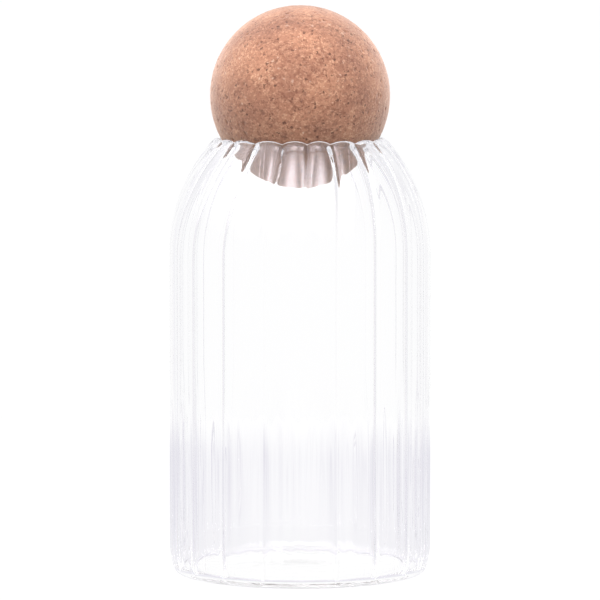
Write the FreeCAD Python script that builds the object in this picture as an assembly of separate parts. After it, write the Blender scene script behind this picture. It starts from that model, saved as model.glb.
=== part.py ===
import FreeCAD, Part
import math
import os

# Ribbed glass storage jar closed by a cork ball.
# Millimetres, +Z up. The origin is the centre of the foot, on the surface that the jar stands on.
# The jar is one blown glass shell: a foot ring round a shallow push-up, a tucked-in heel, a straight
# body, a round shoulder and a fire-polished lip. Its upright ribs stand on the inside, with wide
# shallow flutes between them, and a shallower groove follows each rib on the outside.
# The cork ball rests by its own weight on the lip, where the ribs come nearest to the axis.

# Glass body
body_diameter = 100.0  # outside, between the ribs
jar_height = 166.5  # from the foot to the highest places of the lip
wall = 1.7  # between the ribs
floor_thickness = 2.2

# Cork ball
ball_diameter = 68.6
seat_clearance = 0.15  # between the ball and the glass where it rests

# Shoulder and lip
shoulder_height = 44.0  # from the end of the straight wall to the top of the lip
lip_thickness = 3.6  # of the round bead, between the ribs
seat_angle_degrees = 28.1  # of the bead below the ball's middle, seen from the middle of the ball
drawn_share = 0.6  # of the lip's extra thickness, gained slowly along the shoulder; the bead is the rest
bead_start_share = 0.9  # of the shoulder's arc, where the bead begins

# Heel and foot
heel_height = 12.0
heel_radius = 30.5
foot_corner_radius = 3.0
inner_corner_radius = 4.0
foot_ring_width = 6.0
push_up_depth = 0.6

# Ribs
rib_count = 20
rib_height = 1.4  # on the inside of the straight wall
rib_half_width = 0.9  # of the narrow crest
groove_depth = 0.6  # on the outside, behind each rib
lip_rib_height = 1.5
lip_groove_depth = 0.8
lip_wave = 1.5  # how far the lip dips at each rib
swell_share = 0.65  # of a rib's height, in the broad swell between two flutes; the rest is the crest
swell_softness_share = 0.1  # roundness of the swell's top
crowding_share = 0.7  # how much the points of a section gather at the ribs

# Points per rib, and sections per loft
rib_point_count = 16
heel_section_count = 5
shoulder_section_count = 12
lip_section_count = 11

body_radius = body_diameter / 2
ball_radius = ball_diameter / 2
lip_radius = lip_thickness / 2
lip_centre_r = (ball_radius + lip_radius) * math.cos(math.radians(seat_angle_degrees))
lip_centre_z = jar_height - lip_radius
shoulder_start = jar_height - shoulder_height


def ease(share):
    """Smooth step from 0 to 1, level at both ends."""
    return share * share * (3 - 2 * share)


def between(start, end, share):
    """Value at a share of the way from start to end."""
    return start + (end - start) * share


def shares(count):
    """Evenly spaced shares from 0 to 1, both included."""
    return [k / (count - 1) for k in range(count)]


def rib_share(turn, pitch):
    """Height of the rib pattern at a share of one pitch: 1 on the rib and 0 in the middle of the flute.

    The flutes are arches, each the absolute value of a sine, and a narrow bell-shaped crest stands
    where two of them meet.
    """
    arch = math.hypot(math.sin(math.pi * turn), swell_softness_share) - swell_softness_share
    full_arch = math.hypot(1, swell_softness_share) - swell_softness_share
    offset = pitch * min(turn, 1 - turn)
    crest = math.exp(-((offset / rib_half_width) ** 2))
    return between(crest, 1 - arch / full_arch, swell_share)


def rib_turns():
    """Places along one pitch, as shares of it, gathered near the rib where the curve is tight."""
    for share in shares(rib_point_count + 1)[:-1]:
        yield share - crowding_share * math.sin(2 * math.pi * share) / (2 * math.pi)


def ring(radius, height, depth, dip):
    """One closed section of the glass: nearer the axis by depth, and lower by dip, at each rib."""
    pitch = 2 * math.pi * radius / rib_count
    points = []
    for rib in range(rib_count):
        for turn in rib_turns():
            share = rib_share(turn, pitch)
            angle = math.pi / 2 + 2 * math.pi * (rib + turn) / rib_count
            reach = radius - depth * share
            place = FreeCAD.Vector(reach * math.cos(angle), reach * math.sin(angle), height - dip * share)
            points.append(place)
    curve = Part.BSplineCurve()
    steps = [float(k) for k in range(len(points) + 1)]
    curve.interpolate(Points=points, PeriodicFlag=True, Parameters=steps)
    return Part.Wire(curve.toShape())


def skin(stations, ruled=False):
    """Faces lofted through rings, each given as (radius, height, depth, dip)."""
    return Part.makeLoft([ring(*station) for station in stations], False, ruled).Faces


def arc_places(centre_r, centre_z, radius, start, end, count):
    """(radius, height) places along an arc of a profile, angles from the outward direction."""
    angles = [between(start, end, share) for share in shares(count)]
    return [(centre_r + radius * math.cos(a), centre_z + radius * math.sin(a)) for a in angles]


def heel_profile(offset, level, corner_radius):
    """Places from the flat up the corner and the heel to the straight wall, offset inwards by the wall."""
    centre_r = body_radius - heel_radius
    reach = heel_radius - offset
    corner_z = level + corner_radius
    corner_r = centre_r + math.sqrt((reach - corner_radius) ** 2 - (heel_height - corner_z) ** 2)
    joint = math.atan2(corner_z - heel_height, corner_r - centre_r)
    corner = arc_places(corner_r, corner_z, corner_radius, -math.pi / 2, joint, heel_section_count)
    rise = arc_places(centre_r, heel_height, reach, joint, 0, heel_section_count)
    return corner + rise[1:]


def heel_stations(offset, level, corner_radius, depth):
    """Heel sections whose ribs grow from nothing at the flat to their full depth at the wall."""
    places = heel_profile(offset, level, corner_radius)
    return [(r, z, depth * ease(share), 0) for (r, z), share in zip(places, shares(len(places)))]


def shoulder_arc():
    """Radius of the shoulder's outer arc, and the angle where it meets the lip.

    The arc leaves the straight wall without a bend and ends tangent to the round lip.
    """
    inset = body_radius - lip_centre_r
    rise = lip_centre_z - shoulder_start
    radius = (inset**2 + rise**2 - lip_radius**2) / (2 * inset - lip_thickness)
    return radius, math.atan2(rise, radius - inset)


def shoulder_stations(inside):
    """Shoulder sections from the wall to the lip, closer together where the glass thickens into the bead."""
    radius, end = shoulder_arc()
    depths = (rib_height, lip_rib_height) if inside else (groove_depth, lip_groove_depth)
    stations = []
    for step in shares(shoulder_section_count):
        share = 1 - (1 - step) ** 2
        bead_share = max(0, share - bead_start_share) / (1 - bead_start_share)
        thickness = between(wall, lip_thickness, between(ease(bead_share), ease(share), drawn_share))
        reach = radius - thickness if inside else radius
        angle = end * share
        r = body_radius - radius + reach * math.cos(angle)
        z = shoulder_start + reach * math.sin(angle)
        stations.append((r, z, between(*depths, ease(share)), lip_wave * share**2))
    return stations


def lip_stations():
    """Sections over the round lip, from the outside of the shoulder to the inside."""
    end = shoulder_arc()[1]
    places = arc_places(lip_centre_r, lip_centre_z, lip_radius, end, end + math.pi, lip_section_count)
    depths = [between(lip_groove_depth, lip_rib_height, ease(share)) for share in shares(lip_section_count)]
    return [(r, z, depth, lip_wave) for (r, z), depth in zip(places, depths)]


def foot_faces(heel_edge):
    """Flat foot ring inside the heel's lower edge, and the shallow dome of the push-up inside the ring."""
    foot_radius = heel_profile(0, 0, foot_corner_radius)[0][0]
    dome_radius = foot_radius - foot_ring_width
    rim = Part.Circle(FreeCAD.Vector(), FreeCAD.Vector(0, 0, 1), dome_radius).toShape()
    ring_face = Part.makeFace([heel_edge, Part.Wire(rim)], "Part::FaceMakerBullseye")
    top = FreeCAD.Vector(0, 0, push_up_depth)
    edge = FreeCAD.Vector(dome_radius, 0, 0)
    sphere_radius = (dome_radius**2 + push_up_depth**2) / (2 * push_up_depth)
    half_angle = math.asin(dome_radius / sphere_radius) / 2
    middle = FreeCAD.Vector(
        sphere_radius * math.sin(half_angle), 0, push_up_depth - sphere_radius * (1 - math.cos(half_angle))
    )
    arc = Part.Arc(edge, middle, top).toShape()
    dome = arc.revolve(FreeCAD.Vector(), FreeCAD.Vector(0, 0, 1), 360)
    return ring_face.Faces + dome.Faces


def glass_jar():
    """The whole glass shell as one solid, sewn from its outside, lip and inside."""
    heel = heel_stations(0, 0, foot_corner_radius, groove_depth)
    shoulder = shoulder_stations(inside=False)
    inner_shoulder = shoulder_stations(inside=True)
    inner_heel = heel_stations(wall, floor_thickness, inner_corner_radius, rib_height)
    faces = skin(heel)
    faces += skin([heel[-1], shoulder[0]], ruled=True)
    faces += skin(shoulder)
    faces += skin(lip_stations())
    faces += skin(inner_shoulder)
    faces += skin([inner_shoulder[0], inner_heel[-1]], ruled=True)
    faces += skin(inner_heel)
    faces += foot_faces(ring(*heel[0]))
    faces.append(Part.Face(ring(*inner_heel[0])))
    shell = Part.Shell(faces)
    shell.sewShape()
    return Part.Solid(shell)


def cork_ball():
    """Cork ball lowered until it is a clearance away from the first place of the lip that it would touch."""
    reach = ball_radius + seat_clearance
    places = [(r - depth, z - dip) for r, z, depth, dip in lip_stations()]
    places += [(r, z) for r, z, depth, dip in lip_stations()]
    height = max(z + math.sqrt(reach**2 - r**2) for r, z in places)
    return Part.makeSphere(ball_radius, FreeCAD.Vector(0, 0, height))


def main():
    os.makedirs("parts", exist_ok=True)
    for name, shape in {"glass_jar": glass_jar(), "cork_ball": cork_ball()}.items():
        print(name, shape.ShapeType, shape.isValid(), round(shape.Volume), shape.BoundBox)
        shape.exportStep(f"parts/{name}.step")


main()
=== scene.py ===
# %% [markdown]
# # Ribbed glass jar with a cork ball
# The jar was drawn first as two solids with real sizes, one of glass and one of cork. Those solids are
# the frame of this scene. Each piece made here takes the place of one of them, keeps its size and
# place, and adds what a plain solid lacks: the unevenness of blown glass, the grain of cork, and
# finishes. Lengths are in metres, and MM turns millimetres into metres.

# %% Load the frame
import math

import bpy
import numpy as np
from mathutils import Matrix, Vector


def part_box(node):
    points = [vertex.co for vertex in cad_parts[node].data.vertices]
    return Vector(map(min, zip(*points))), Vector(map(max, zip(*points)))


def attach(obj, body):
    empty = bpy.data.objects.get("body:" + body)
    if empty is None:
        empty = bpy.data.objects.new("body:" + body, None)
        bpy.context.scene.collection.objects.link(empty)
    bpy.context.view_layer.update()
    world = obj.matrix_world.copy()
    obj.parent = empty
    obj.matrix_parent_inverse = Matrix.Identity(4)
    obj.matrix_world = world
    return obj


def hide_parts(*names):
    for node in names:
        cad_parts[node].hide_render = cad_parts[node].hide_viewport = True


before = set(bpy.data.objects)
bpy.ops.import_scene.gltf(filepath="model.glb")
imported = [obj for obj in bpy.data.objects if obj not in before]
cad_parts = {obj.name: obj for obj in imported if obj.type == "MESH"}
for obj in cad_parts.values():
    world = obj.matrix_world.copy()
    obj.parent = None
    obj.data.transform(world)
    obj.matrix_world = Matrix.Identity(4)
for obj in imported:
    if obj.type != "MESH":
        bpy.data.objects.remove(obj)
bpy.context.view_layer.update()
MM = 0.001

# %% [markdown]
# ## The glass
# The jar is one bubble of glass. Its ribs were pressed into the soft bubble before the last blow, so
# they stand mostly on the inside, with wide flutes between them and shallow grooves behind them. A
# cylinder with a Displace modifier would smear such narrow ribs. Here the surface is a formula instead:
# a profile that starts at the middle of the foot, climbs the outside, turns over the lip, goes down the
# inside and ends at the middle of the floor, carried once round the axis.

# %% Sizes of the glass
jar_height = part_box("glass_jar")[1].z
body_radius = 50.0 * MM
wall = 1.7 * MM
floor_thickness = 2.2 * MM
print("jar", round(jar_height / MM, 2), "mm high")


# %% Stretches of a profile
def between(start, end, share):
    """Value at a share of the way from start to end."""
    return start + (end - start) * share


def ease(share):
    """Smooth step from 0 to 1: three squares less two cubes, level at both ends."""
    return share * share * (3 - 2 * share)


def eased(value, start, end):
    """Smooth step of a value: 0 up to start, 1 from end on."""
    return ease(np.clip((value - start) / (end - start), 0, 1))


def arc(centre_r, centre_z, radius, start, end, count):
    """Places on a circle: the centre plus the radius times the cosine and sine of even angles."""
    angle = np.linspace(start, end, count)
    return np.column_stack((centre_r + radius * np.cos(angle), centre_z + radius * np.sin(angle)))


# %% [markdown]
# ### Rows of the profile
# A blown wall changes along its height: the ribs fade at the foot and lean at the lip. So each row of
# the profile carries more than its radius and height. It also says how deep the ribs are there, which
# share of that depth is a broad swell, how wide the crest on it is, how far the lip dips, and how far
# the ribs have twisted.

# %% One row for each ring
rib_half_width = 1.0 * MM
body_swell = 0.55


def rows(places, depth, swell=body_swell, half_width=rib_half_width, dip=0.0, twist=0.0):
    """Profile rows: radius, height, depth, swell, half width, dip and twist, side by side."""
    extra = [np.broadcast_to(value, len(places)) for value in (depth, swell, half_width, dip, twist)]
    return np.column_stack((places, *extra))


def upright(radius, heights, depth):
    """Rows of a straight wall: the same radius at every height."""
    return rows(np.column_stack((np.full_like(heights, radius), heights)), depth)


# %% [markdown]
# ### Foot and heel
# The foot is a flat ring round a shallow push-up, so the jar stands without rocking. Above it the heel
# tucks in: a small corner and a larger arc that meet without a bend. A Bevel would give the corner
# alone, so both arcs are worked out here: their centres and the joint lie on one line. The ribs ease in
# on the corner.

# %% Heel, outside and inside
heel_height = 12.0 * MM
heel_radius = 30.5 * MM
foot_corner_radius = 3.0 * MM
inner_corner_radius = 4.0 * MM
groove_depth = 0.6 * MM
rib_height = 1.4 * MM
rib_start_share = 0.5


def heel(offset, level, corner_radius, depth, count=9):
    """Rows from the flat at that level up a corner and the heel's arc, with ribs that ease in."""
    centre_r = body_radius - heel_radius
    reach = heel_radius - offset
    corner_z = level + corner_radius
    corner_r = centre_r + math.sqrt((reach - corner_radius) ** 2 - (heel_height - corner_z) ** 2)
    joint = math.atan2(corner_z - heel_height, corner_r - centre_r)
    corner = arc(corner_r, corner_z, corner_radius, -math.pi / 2, joint, count)
    places = np.vstack((corner, arc(centre_r, heel_height, reach, joint, 0, count)[1:]))
    along = np.linspace(0, 1, len(places))
    return rows(places, depth * eased(along, 0, rib_start_share))


outer_heel = heel(0, 0, foot_corner_radius, groove_depth)
inner_heel = heel(wall, floor_thickness, inner_corner_radius, rib_height)
print("foot", round(2 * outer_heel[0, 0] / MM, 1), "mm across")

# %% Push-up and floor
foot_ring_width = 6.0 * MM
push_up_depth = 0.6 * MM
flat_rings = 6

dome_radius = outer_heel[0, 0] - foot_ring_width
outwards = np.linspace(0, 1, flat_rings + 1)[1:]
dome = rows(np.column_stack((dome_radius * outwards, push_up_depth * (1 - outwards**2))), 0)
inwards = outwards[-2::-1]
floor = rows(np.column_stack((inner_heel[0, 0] * inwards, np.full_like(inwards, floor_thickness))), 0)
print("push-up", round(2 * dome_radius / MM, 1), "mm across")

# %% [markdown]
# ### Shoulder and lip
# The shoulder is one arc that leaves the wall without a bend and runs into the round lip. Drawing the
# hot glass in makes it thicker, and fire-polishing gathers the cut edge into a bead. The lip dips a
# little at every rib, and the ribs lean to one side there, because the pipe was turned while the neck
# was drawn in. A Solidify modifier would give one even wall, so inside and outside are two profiles
# with their own ribs.

# %% Sizes of the shoulder and lip
shoulder_height = 44.0 * MM
lip_radius = 1.8 * MM
lip_centre_radius = 31.85 * MM
lip_groove_depth = 0.5 * MM
lip_groove_swell = 0.4
lip_rib_height = 1.3 * MM
lip_rib_swell = 0.15
lip_rib_half_width = 1.35 * MM
lip_wave = 1.15 * MM
lip_twist = math.radians(4.5)

lip_centre_height = jar_height - lip_radius
shoulder_start = jar_height - shoulder_height
inset = body_radius - lip_centre_radius
rise = lip_centre_height - shoulder_start
shoulder_radius = (inset**2 + rise**2 - lip_radius**2) / (2 * (inset - lip_radius))
shoulder_end = math.atan2(rise, shoulder_radius - inset)
shoulder_degrees = math.degrees(shoulder_end)
print("shoulder", round(shoulder_radius / MM, 1), "mm arc over", round(shoulder_degrees), "degrees")

# %% Shoulder as rows
drawn_share = 0.92
bead_start = 0.90
lip_gather = 1.6


def shoulder(inside, depths, swells, count=26):
    """Rows along the shoulder's arc, closest near the lip; inside, a thickness nearer its centre."""
    share = 1 - (1 - np.linspace(0, 1, count)) ** lip_gather
    bead = eased(share, bead_start, 1)
    thickness = between(wall, 2 * lip_radius, between(bead, ease(share), drawn_share))
    reach = shoulder_radius - thickness * inside
    angle = shoulder_end * share
    radius = body_radius - shoulder_radius + reach * np.cos(angle)
    height = shoulder_start + reach * np.sin(angle)
    half_width = between(rib_half_width, lip_rib_half_width, ease(share))
    depth = between(*depths, ease(share))
    swell = between(*swells, ease(share))
    places = np.column_stack((radius, height))
    return rows(places, depth, swell, half_width, lip_wave * share**2, lip_twist * ease(share))


outer_shoulder = shoulder(False, (groove_depth, lip_groove_depth), (body_swell, lip_groove_swell))
inner_shoulder = shoulder(True, (rib_height, lip_rib_height), (body_swell, lip_rib_swell))
print("glass under the lip", round((outer_shoulder - inner_shoulder)[-1, 0] / MM, 2), "mm across")

# %% Lip as rows
lip_rings = 17

over = np.linspace(0, 1, lip_rings + 2)
lip_angles = (shoulder_end, shoulder_end + math.pi)
lip_places = arc(lip_centre_radius, lip_centre_height, lip_radius, *lip_angles, lip_rings + 2)
lip_depth = between(lip_groove_depth, lip_rib_height, ease(over))
lip_swell = between(lip_groove_swell, lip_rib_swell, ease(over))
lip = rows(lip_places, lip_depth, lip_swell, lip_rib_half_width, lip_wave, lip_twist)[1:-1]
print("mouth", round(2 * lip[:, 0].min() / MM, 1), "mm across between the ribs")

# %% The whole profile
wall_rings = 10

wall_heights = np.linspace(heel_height, shoulder_start, wall_rings + 2)[1:-1]
outer_wall = upright(body_radius, wall_heights, groove_depth)
inner_wall = upright(body_radius - wall, wall_heights, rib_height)
outside = np.vstack((dome, outer_heel, outer_wall, outer_shoulder, lip))
inside = np.vstack((inner_shoulder[::-1], inner_wall[::-1], inner_heel[::-1], floor))
print("profile", len(outside), "rows outside and", len(inside), "inside")

# %% [markdown]
# ### Ribs
# Seen from above, each flute is an arch, and a narrow crest stands where two arches meet. An Array of
# one rib would make all twenty alike. In a blown jar no two are: their spacing drifts a little, every
# fifth is hardly there, and those on the far side came out weaker. All of this is in the angle and the
# depth of the formula.

# %% Rib formula
rib_count = 20
swell_softness = 0.10


def rib_share(phase, pitch, swell, half_width):
    """1 on a rib, 0 in mid flute: one less the size of a sine, mixed with a bell curve of the distance."""
    arch = np.hypot(np.sin(math.pi * phase), swell_softness) - swell_softness
    full_arch = math.hypot(1, swell_softness) - swell_softness
    crest = np.exp(-((pitch * (phase - np.rint(phase)) / half_width) ** 2))
    return between(crest, 1 - arch / full_arch, swell)


print("ribs", round(2 * math.pi * body_radius / rib_count / MM, 1), "mm apart")

# %% Uneven ribs
drift = math.radians(1.7)
drift_waves = 5
drift_start = math.radians(-33.5)
slow_drift = math.radians(0.9)
slow_waves = 2
weakest = 0.15
weak_waves = 4
weak_start = math.radians(-3)
weak_sharpness = 4
far_strength = 0.55


def rib_drift(even):
    """How far a rib has moved from its even place: a sine of five turns and a smaller one of two."""
    quick = drift * np.sin(drift_waves * (even - drift_start))
    return quick + slow_drift * np.sin(slow_waves * even)


def rib_strength(even):
    """Share of the full depth: least where a raised cosine of four turns peaks, less on the far side."""
    dent = ((1 + np.cos(weak_waves * (even - weak_start))) / 2) ** weak_sharpness
    near_side = ease((1 + np.cos(even)) / 2)
    return between(1, weakest, dent) * between(far_strength, 1, near_side)


middles = 2 * math.pi * np.arange(rib_count) / rib_count
strengths = rib_strength(middles)
print("rib strength", round(strengths.min(), 2), "to", round(strengths.max(), 2))

# %% [markdown]
# ### Cords
# Glass that was turned while soft keeps faint upright waves, called cords. They are too shallow to see
# as relief, and show as soft streaks in whatever is behind them. A bump map could fake this, but light
# bends more truly through real waves, so they are part of the inner wall: strongest low down, gone at
# the heel.

# %% Cord formula
cord_depth = 0.18 * MM
cord_top = (75 * MM, 50 * MM)
cord_foot = (12 * MM, 24 * MM)
cord_waves = np.array((31, 47, 59, 73))
cord_lean = np.array((0.6, -0.8, 1.0, -0.5))


def cords(angle, height):
    """Sines of whole multiples of the angle, added up, leaning with the height, eased off at both ends."""
    turns = cord_waves * angle[..., None] + cord_lean * height[..., None] / body_radius
    waves = np.sin(turns).sum(axis=-1) / math.sqrt(len(cord_waves))
    return waves * eased(height, *cord_top) * eased(height, *cord_foot)


print("cords", cord_waves.min(), "to", cord_waves.max(), "waves round the jar")

# %% [markdown]
# ### From profile to mesh
# Each row of the profile becomes a ring of places round the axis, and quads join neighbouring rings. A
# Screw modifier would turn one fixed profile, but here every ring has ribs of its own depth, so the
# whole grid is worked out at once. Its places gather near the ribs, where the glass bends most.

# %% Carry the profile round the axis
points_per_rib = 30
crowding = 0.65
dip_swell = 0.7


def rib_phases():
    """Places along one pitch from 0 to 1, gathered near the rib by taking a sine from an even spread."""
    even = np.arange(points_per_rib) * 2 * math.pi / points_per_rib
    return (even - crowding * np.sin(even)) / (2 * math.pi)


def carry_round(profile, wave_depth):
    """Grid of places: the radius less the rib's depth at each angle, and the height less the dip."""
    phase = np.tile(rib_phases(), rib_count)
    rib = np.repeat(np.arange(rib_count), points_per_rib)
    radius, height, depth, swell, half_width, dip, twist = (column[:, None] for column in profile.T)
    pitch = 2 * math.pi * radius / rib_count
    even = 2 * math.pi * (rib + phase) / rib_count
    angle = even - math.pi / 2 + rib_drift(even) + twist
    reach = radius - depth * rib_strength(even) * rib_share(phase, pitch, swell, half_width)
    reach = reach + wave_depth * cords(angle, np.broadcast_to(height, angle.shape))
    level = height - dip * rib_share(phase, pitch, dip_swell, half_width)
    return np.stack((reach * np.cos(angle), reach * np.sin(angle), level), axis=-1)


grid = np.concatenate((carry_round(outside, 0), carry_round(inside, cord_depth)))
print("grid", grid.shape[0], "rings of", grid.shape[1], "places")


# %% A closed mesh from a grid of rings
def new_piece(name, places, faces):
    """A smooth mesh object from places and faces, linked to the scene."""
    mesh = bpy.data.meshes.new(name)
    mesh.from_pydata(places.tolist(), [], [face for group in faces for face in group.tolist()])
    mesh.shade_smooth()
    piece = bpy.data.objects.new(name, mesh)
    bpy.context.scene.collection.objects.link(piece)
    return piece


def closed_mesh(name, rings, first_pole, last_pole):
    """Quads between neighbouring rings, and a fan of triangles from each pole to the ring beside it."""
    ring_count, around = rings.shape[:2]
    places = np.vstack((rings.reshape(-1, 3), first_pole, last_pole))
    here = np.arange(around)
    after = (here + 1) % around
    ring = np.arange(ring_count - 1)[:, None] * around
    quads = np.stack((ring + here, ring + after, ring + after + around, ring + here + around), axis=-1)
    top = (ring_count - 1) * around
    fan = np.column_stack((np.full(around, len(places) - 2), after, here))
    cap = np.column_stack((np.full(around, len(places) - 1), top + here, top + after))
    return new_piece(name, places, (quads.reshape(-1, 4), fan, cap))


jar = closed_mesh("blown_glass_jar", grid, (0, 0, push_up_depth), (0, 0, floor_thickness))
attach(jar, "jar")
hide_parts("glass_jar")
print(jar.name, len(jar.data.polygons), "faces")

# %% [markdown]
# ## The cork ball
# The ball is turned from a block of cork granules, glued and pressed together, and then sanded. Sanding
# leaves the granules at slightly different heights, with fine seams between them, and tears some out as
# pits. A sphere of rings would crowd its faces at the poles, so the ball starts as a cube whose six
# faces are blown up.

# %% Directions of the ball's surface
ball_low, ball_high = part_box("cork_ball")
ball_radius = (ball_high.z - ball_low.z) / 2
ball_centre = np.array((0, 0, ball_low.z + ball_radius))
ball_cells = 120
weld_digits = 7


def ball_directions(cells):
    """Unit vectors through a cube's six faces, each a grid of tangents, and the quads between them."""
    even = np.tan(np.linspace(-math.pi / 4, math.pi / 4, cells + 1))
    a, b = (value[..., None] for value in np.meshgrid(even, even, indexing="ij"))
    u, v, w = np.eye(3)
    sides = [side for x, y, z in ((u, v, w), (v, w, u), (w, u, v)) for side in ((x, y, z), (y, x, -z))]
    places = np.vstack([(a * x + b * y + z).reshape(-1, 3) for x, y, z in sides])
    places /= np.linalg.norm(places, axis=1, keepdims=True)
    corner = (np.arange(cells)[:, None] * (cells + 1) + np.arange(cells)).reshape(-1, 1)
    quad = corner + np.array((0, cells + 1, cells + 2, 1))
    quads = np.vstack([quad + k * (cells + 1) ** 2 for k in range(len(sides))])
    welded, index = np.unique(np.round(places, weld_digits), axis=0, return_inverse=True)
    return welded, index.reshape(-1)[quads]


directions, quads = ball_directions(ball_cells)
print("ball", round(2 * ball_radius / MM, 1), "mm,", len(directions), "places")

# %% Granules and pits as scattered centres
scatter_seed = 7

rng = np.random.default_rng(scatter_seed)


def scattered(count):
    """Directions spread evenly over a sphere: normal numbers divided by their length."""
    spread = rng.normal(size=(count, 3))
    return spread / np.linalg.norm(spread, axis=1, keepdims=True)


def nearest_two(centres, parts=60):
    """For each direction, the nearest centre, and how far along the ball it and the next one are."""
    found = []
    for part in np.array_split(directions, parts):
        cosine = part @ centres.T
        two = np.argpartition(-cosine, 1, axis=1)[:, :2]
        angle = np.arccos(np.clip(np.take_along_axis(cosine, two, axis=1), -1, 1))
        nearest = np.where(angle[:, 0] > angle[:, 1], two[:, 1], two[:, 0])
        found.append(np.column_stack((nearest, angle.min(axis=1), angle.max(axis=1))))
    index, near, second = np.vstack(found).T
    return index.astype(int), ball_radius * near, ball_radius * second


# %% Relief of the sanded cork
granule_count = 6500
granule_step = 0.07 * MM
seam_depth = 0.06 * MM
seam_width = 0.25 * MM
pit_count = 420
pit_size = (0.25 * MM, 0.75 * MM)
pit_depth_share = 0.45
pit_steepness = 4

granule, near, second = nearest_two(scattered(granule_count))
step = granule_step * rng.uniform(0, 1, granule_count)[granule]
seam = seam_depth * np.exp(-(((second - near) / seam_width) ** 2))
pit, pit_near, _ = nearest_two(scattered(pit_count))
pit_radius = rng.uniform(*pit_size, pit_count)[pit]
torn_share = np.exp(-((pit_near / pit_radius) ** pit_steepness))
relief = -step - seam - pit_depth_share * pit_radius * torn_share
print("relief", round(-relief.mean() / MM, 2), "mm deep, at most", round(-relief.min() / MM, 2), "mm")

# %% The ball
ball_places = ball_centre + (ball_radius + relief)[:, None] * directions
ball = new_piece("cork_ball_stopper", ball_places, (quads,))
ball.data.attributes.new("torn", "FLOAT", "POINT").data.foreach_set("value", torn_share)
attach(ball, "stopper")
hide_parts("cork_ball")
print(ball.name, len(ball.data.polygons), "faces")


# %% [markdown]
# ## Finishes
# Finishes are node trees. One helper adds a node with its settings and inputs, so that each finish
# reads from top to bottom as a list of what it is made of.

# %% Helpers for node trees
def add(tree, kind, inputs, **settings):
    """A node of that kind: settings are its options, inputs are plain values or outputs of other nodes."""
    node = tree.nodes.new("ShaderNode" + kind)
    for name, value in settings.items():
        setattr(node, name, value)
    for key, value in inputs.items():
        if isinstance(value, bpy.types.NodeSocket):
            tree.links.new(value, node.inputs[key])
        else:
            node.inputs[key].default_value = value
    return node


def object_place(tree):
    """Where a point lies on its own piece, so that a pattern stays put when the piece moves."""
    return add(tree, "TexCoord", {}).outputs["Object"]


def new_finish(name):
    """A node material with its Principled shader."""
    finish = bpy.data.materials.new(name)
    finish.use_nodes = True
    return finish, finish.node_tree, finish.node_tree.nodes["Principled BSDF"].inputs


# %% [markdown]
# ### Clear blown glass
# Borosilicate glass is almost without colour. What gives it away as blown is its surface, which is
# never quite flat: very shallow ripples, longer upright than across, bend reflections a little. They
# are far too shallow to model, so a stretched noise drives a Bump node.

# %% Glass finish
glass_index = 1.47
ripple_scale = (160.0, 160.0, 25.0)
ripple_depth = 1.0 * MM
ripple_strength = 0.02

glass, tree, surface = new_finish("clear_blown_glass")
stretch = {0: object_place(tree), 1: ripple_scale}
stretched = add(tree, "VectorMath", stretch, operation="MULTIPLY").outputs[0]
ripple = add(tree, "TexNoise", {"Vector": stretched, "Scale": 1.0, "Detail": 1.0}).outputs["Fac"]
bump = add(tree, "Bump", {"Strength": ripple_strength, "Distance": ripple_depth, "Height": ripple})
tree.links.new(bump.outputs["Normal"], surface["Normal"])
surface["Base Color"].default_value = (1, 1, 1, 1)
surface["Roughness"].default_value = 0.0
surface["IOR"].default_value = glass_index
surface["Transmission Weight"].default_value = 1.0
jar.data.materials.append(glass)
print("finish", glass.name, len(tree.nodes), "nodes")

# %% [markdown]
# ### Sanded cork
# Each granule has its own tan, and its cut face shows finer crumbs. Bits of dark bark and pale young
# cork are scattered among them, and the torn pits get painted shade, darker than the sanded face. Broad
# patches vary a little, as the block was not mixed evenly. Voronoi cells give grains, but straight-sided
# ones, so a noise first pushes every place a little aside. Fine loose fibres make the edge of the ball
# look paler, which is what sheen is for.

# %% Ragged cells
ragged_scale = 1100
ragged_reach = 1.4 * MM

cork, tree, surface = new_finish("fine_cork")
place = object_place(tree)
push = add(tree, "TexNoise", {"Vector": place, "Scale": ragged_scale, "Detail": 1.0}).outputs["Color"]
moved = {0: push, 1: (ragged_reach,) * 3, 2: place}
ragged = add(tree, "VectorMath", moved, operation="MULTIPLY_ADD").outputs[0]
print("cells pushed aside by up to", round(ragged_reach / MM, 1), "mm")


def cells(tree, place, scale):
    """Cells scattered in space: the distance to the nearest centre, and two random numbers per cell."""
    node = add(tree, "TexVoronoi", {"Vector": place, "Scale": scale})
    parts = add(tree, "SeparateColor", {0: node.outputs["Color"]}).outputs
    return node.outputs["Distance"], parts[0], parts[1]


# %% Ramps and mixes
def ramp(tree, source, *stops):
    """Colour ramp through (position, colour) stops in rising order."""
    node = add(tree, "ValToRGB", {"Fac": source})
    elements = node.color_ramp.elements
    elements[0].position, elements[1].position = stops[0][0], stops[-1][0]
    elements[0].color, elements[1].color = (*stops[0][1], 1), (*stops[-1][1], 1)
    for position, colour in stops[1:-1]:
        elements.new(position).color = (*colour, 1)
    return node.outputs["Color"]


def blend(tree, mask, first, second, mode="MIX"):
    """The first colour where the mask is 0 and the second where it is 1."""
    # Mix has sockets for numbers, vectors and colours: 6 and 7 take colours, and 2 puts one out.
    return add(tree, "Mix", {0: mask, 6: first, 7: second}, data_type="RGBA", blend_type=mode).outputs[2]


# %% Granules and crumbs
granule_scale = 760
granule_tans = (
    (0.0, (0.22, 0.082, 0.046)),
    (0.3, (0.41, 0.184, 0.108)),
    (0.8, (0.47, 0.220, 0.130)),
    (1.0, (0.62, 0.330, 0.200)),
)
crumb_scale = 1900
crumb_tans = (
    (0.0, (0.18, 0.065, 0.040)),
    (0.25, (0.38, 0.165, 0.098)),
    (0.75, (0.47, 0.220, 0.135)),
    (1.0, (0.76, 0.440, 0.280)),
)
crumb_share = 0.55

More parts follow.
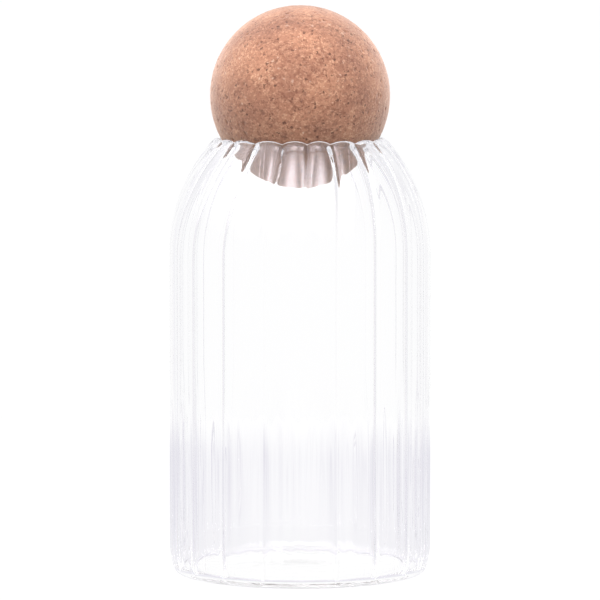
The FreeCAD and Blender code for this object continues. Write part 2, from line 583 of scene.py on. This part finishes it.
_, granule_tone, _ = cells(tree, ragged, granule_scale)
_, crumb_tone, _ = cells(tree, ragged, crumb_scale)
granules = ramp(tree, granule_tone, *granule_tans)
crumbs = ramp(tree, crumb_tone, *crumb_tans)
colour = blend(tree, crumb_share, granules, crumbs)
print("granules", round(1 / granule_scale / MM, 1), "mm, crumbs", round(1 / crumb_scale / MM, 1), "mm")

# %% Bark and pale cork
fleck_scale = 950
fleck_reach = 0.62
bark_above, bark_cover = 0.86, 0.8
bark_brown = (0.10, 0.035, 0.022, 1)
pale_below, pale_cover = 0.035, 0.35
pale_tan = (0.92, 0.70, 0.54, 1)


def calc(tree, operation, first, second=0.0):
    """Result of one arithmetic step."""
    return add(tree, "Math", {0: first, 1: second}, operation=operation).outputs[0]


fleck_distance, fleck_tone, fleck_size = cells(tree, ragged, fleck_scale)
fleck = calc(tree, "LESS_THAN", fleck_distance, calc(tree, "MULTIPLY", fleck_size, fleck_reach))
bark = calc(tree, "MULTIPLY", fleck, calc(tree, "GREATER_THAN", fleck_tone, bark_above))
pale = calc(tree, "MULTIPLY", fleck, calc(tree, "LESS_THAN", fleck_tone, pale_below))
colour = blend(tree, calc(tree, "MULTIPLY", bark, bark_cover), colour, bark_brown)
colour = blend(tree, calc(tree, "MULTIPLY", pale, pale_cover), colour, pale_tan)
print("flecks", round(1 / fleck_scale / MM, 1), "mm apart")

# %% Torn pits and broad patches
pit_shade_cover = 0.5
pit_shade_brown = (0.18, 0.08, 0.055, 1)
patch_scale = 70
patch_shades = ((0.3, (0.49, 0.49, 0.485)), (0.7, (0.755, 0.81, 0.775)))

# Painted shade: the torn pits are darkened, standing in for the shade that falls in them.
torn = add(tree, "Attribute", {}, attribute_name="torn").outputs["Fac"]
colour = blend(tree, calc(tree, "MULTIPLY", torn, pit_shade_cover), colour, pit_shade_brown)
patch = add(tree, "TexNoise", {"Vector": ragged, "Scale": patch_scale}).outputs["Fac"]
colour = blend(tree, 1.0, colour, ramp(tree, patch, *patch_shades), "MULTIPLY")
tree.links.new(colour, surface["Base Color"])
print("patches", round(1 / patch_scale / MM), "mm apart")

# %% Surface of the cork
grain_strength = 0.35
grain_depth = 0.15 * MM
cork_roughness = 0.8
cork_gloss = 0.25
fibre_sheen = 0.75
fibre_tint = (1, 0.80, 0.66, 1)
fibre_roughness = 0.45

grain = add(tree, "Bump", {"Strength": grain_strength, "Distance": grain_depth, "Height": crumb_tone})
tree.links.new(grain.outputs["Normal"], surface["Normal"])
surface["Roughness"].default_value = cork_roughness
surface["Specular IOR Level"].default_value = cork_gloss
surface["Sheen Weight"].default_value = fibre_sheen
surface["Sheen Tint"].default_value = fibre_tint
surface["Sheen Roughness"].default_value = fibre_roughness
ball.data.materials.append(cork)
print("finish", cork.name, len(tree.nodes), "nodes")

# %% [markdown]
# ## The studio
# The jar stands on a pale table in front of a white wall. Clear glass shows nothing of its own, only
# what is round it, so the studio is what draws it.
# ### The table
# The camera sees a plain white table. The glass sees more of it, with painted light and shade: darker and
# lilac to the sides, which shows through the lower part of the jar, white again towards the wall, a
# painted pool of light under the jar, and a thin painted shadow round the foot. An Area light would leave
# the table to its own shading, so the table glows instead, with its light and shade painted into the glow.

# %% Table top
table_side = 0.36
table_front = -0.60
table_back = 0.54

corner_x = table_side * np.array((-1, 1, 1, -1))
corner_y = np.repeat((table_front, table_back), 2)
corners = np.column_stack((corner_x, corner_y, np.zeros(len(corner_x))))
table = new_piece("table", corners, (np.arange(len(corners))[None],))
print("table", 2 * table_side, "m wide")

# %% Table finish
table_white = (1, 1, 1, 1)
far_and_lit_pool_white = (0.985, 0.985, 0.985, 1)
table_pale = (0.93, 0.928, 0.945, 1)
side_shade_lilac = (0.72, 0.71, 0.775, 1)
foot_shadow_lilac = (0.80, 0.79, 0.85, 1)
table_base = (0.02, 0.02, 0.02, 1)
table_roughness = 0.9
side_shade_x = (-0.03, 0.19)
far_y = (0.34, 0.54)
foot_inner, foot_outer = (0.0435, 0.0455), (0.0505, 0.0485)


def smooth(tree, source, start, end, high=1.0):
    """Smooth step of a value, from 0 at start to high at end."""
    limits = {"Value": source, "From Min": start, "From Max": end, "To Max": high}
    return add(tree, "MapRange", limits, interpolation_type="SMOOTHSTEP").outputs["Result"]


paint, tree, surface = new_finish("pale_table")
place = object_place(tree)
x, y, _ = add(tree, "SeparateXYZ", {0: place}).outputs
from_jar = add(tree, "VectorMath", {0: place}, operation="LENGTH").outputs["Value"]
# Painted shade: seen through the glass, the table turns darker and lilac towards the sides.
side_shade_mask = smooth(tree, calc(tree, "ABSOLUTE", x), *side_shade_x)
# Painted light: inside the foot the table turns white, a pool of light under the jar.
under = smooth(tree, from_jar, *foot_outer)
# Painted shadow: a thin darker lilac ring round the foot, where the jar meets the table.
foot_shadow_ring = calc(tree, "MULTIPLY", under, smooth(tree, from_jar, *foot_inner))
colour = blend(tree, side_shade_mask, table_pale, side_shade_lilac)
colour = blend(tree, smooth(tree, y, *far_y), colour, far_and_lit_pool_white)
colour = blend(tree, foot_shadow_ring, blend(tree, under, colour, far_and_lit_pool_white), foot_shadow_lilac)
colour = blend(tree, add(tree, "LightPath", {}).outputs["Is Camera Ray"], colour, table_white)
tree.links.new(colour, surface["Emission Color"])
surface["Emission Strength"].default_value = 1.0
surface["Base Color"].default_value = table_base
surface["Specular IOR Level"].default_value = 0.0
surface["Roughness"].default_value = table_roughness
table.data.materials.append(paint)
print("finish", paint.name, len(tree.nodes), "nodes")

# %% [markdown]
# ### The wall
# The wall is brightest straight behind the jar, and greyer with a touch of lilac to the sides. A rib
# bends the view sideways, so it shows that grey as a soft line. A world of colours needs no objects:
# the direction in which a ray leaves is enough, with Y straight back.

# %% Wall
wall_back = (1.015, 1.015, 1.015, 1)
wall_side = (0.86, 0.855, 0.888, 1)
side_y = (0.62, 0.99)

world = bpy.data.worlds.new("studio")
bpy.context.scene.world = world
world.use_nodes = True
tree = world.node_tree
x, y, z = add(tree, "SeparateXYZ", {0: add(tree, "TexCoord", {}).outputs["Generated"]}).outputs
camera_ray = add(tree, "LightPath", {}).outputs["Is Camera Ray"]
wall_colour = blend(tree, smooth(tree, y, *side_y), wall_side, wall_back)
wall_colour = blend(tree, camera_ray, wall_colour, wall_back)
wall_light = add(tree, "Background", {"Color": wall_colour, "Strength": 1.0}).outputs[0]
print("wall", len(tree.nodes), "nodes")

# %% [markdown]
# ### The lamps
# A broad soft light hangs overhead, a little to the left, and shades the cork from top to bottom. Two
# soft boxes hang in front of it, towards the camera. Their reflections are the white veil on the middle
# flutes of the shoulder. Two thin tubes on each side draw the bright lines on the flutes beside those.
# Area lights would need many samples to show in such small reflections, so these are bright places of
# the same world.

# %% Lamps
lamp_tint = (1.0, 0.93, 0.99, 1)
lamp_front = (-0.92, -0.74)
lamp_low = (0.20, 0.45)
broad_level, broad_x = 2.0, -0.22
broad_edge, broad_back = (0.90, 0.20), (0.60, 0.20)
boxes_x = 0.07
box_level, box_off = 9.0, 0.20
box_edge, box_back = (0.24, 0.0), (-0.10, -0.45)
tube_level, tube_offs = 5.0, (0.49, 0.57)
tube_edge, tube_back = (0.014, 0.0), (0.20, 0.0)

overhead = calc(tree, "MULTIPLY", smooth(tree, y, *lamp_front), smooth(tree, z, *lamp_low))
off_middle = calc(tree, "ABSOLUTE", calc(tree, "SUBTRACT", x, boxes_x))


def lamp(across, middle, edge, back, level):
    """Strength of a light overhead: full at its middle, falling off smoothly across and to the back."""
    off = calc(tree, "ABSOLUTE", calc(tree, "SUBTRACT", across, middle))
    strength = calc(tree, "MULTIPLY", smooth(tree, off, *edge, level), smooth(tree, y, *back))
    return calc(tree, "MULTIPLY", strength, overhead)


lamps = [lamp(x, broad_x, broad_edge, broad_back, broad_level)]
lamps.append(lamp(off_middle, box_off, box_edge, box_back, box_level))
lamps += [lamp(off_middle, tube_off, tube_edge, tube_back, tube_level) for tube_off in tube_offs]
total = lamps[0]
for strength in lamps[1:]:
    total = calc(tree, "ADD", total, strength)
hidden = calc(tree, "MULTIPLY", total, calc(tree, "SUBTRACT", 1.0, camera_ray))
lamp_light = add(tree, "Background", {"Color": lamp_tint, "Strength": hidden}).outputs[0]
light = add(tree, "AddShader", {0: wall_light, 1: lamp_light}).outputs[0]
tree.links.new(light, tree.nodes["World Output"].inputs["Surface"])
print("studio", len(tree.nodes), "nodes")

# %% [markdown]
# ## Camera
# The photograph was taken from a little above the ball, far away with a long lens: upright lines stay
# almost parallel, and the foot is seen from a few degrees above. Light crosses glass many times before
# it gets out, so the limits on bounces are raised well above the usual dozen.

# %% Camera and light paths
camera_distance = 1.605
camera_height = 0.2328
camera_pitch = math.radians(4.57)
focal_pixels = 4214
image_pixels = 600
sensor_width = 36.0
bounce_limit = 40

lens = bpy.data.cameras.new("camera")
lens.sensor_width = sensor_width
lens.lens = sensor_width * focal_pixels / image_pixels
camera = bpy.data.objects.new("camera", lens)
camera.location = (0, -camera_distance, camera_height)
camera.rotation_euler = (math.pi / 2 - camera_pitch, 0, 0)
bpy.context.scene.collection.objects.link(camera)
bpy.context.scene.camera = camera
bpy.context.scene.view_settings.view_transform = "Standard"
light_paths = bpy.context.scene.cycles
light_paths.max_bounces = bounce_limit
light_paths.glossy_bounces = bounce_limit
light_paths.transmission_bounces = bounce_limit
print("lens", round(lens.lens), "mm")
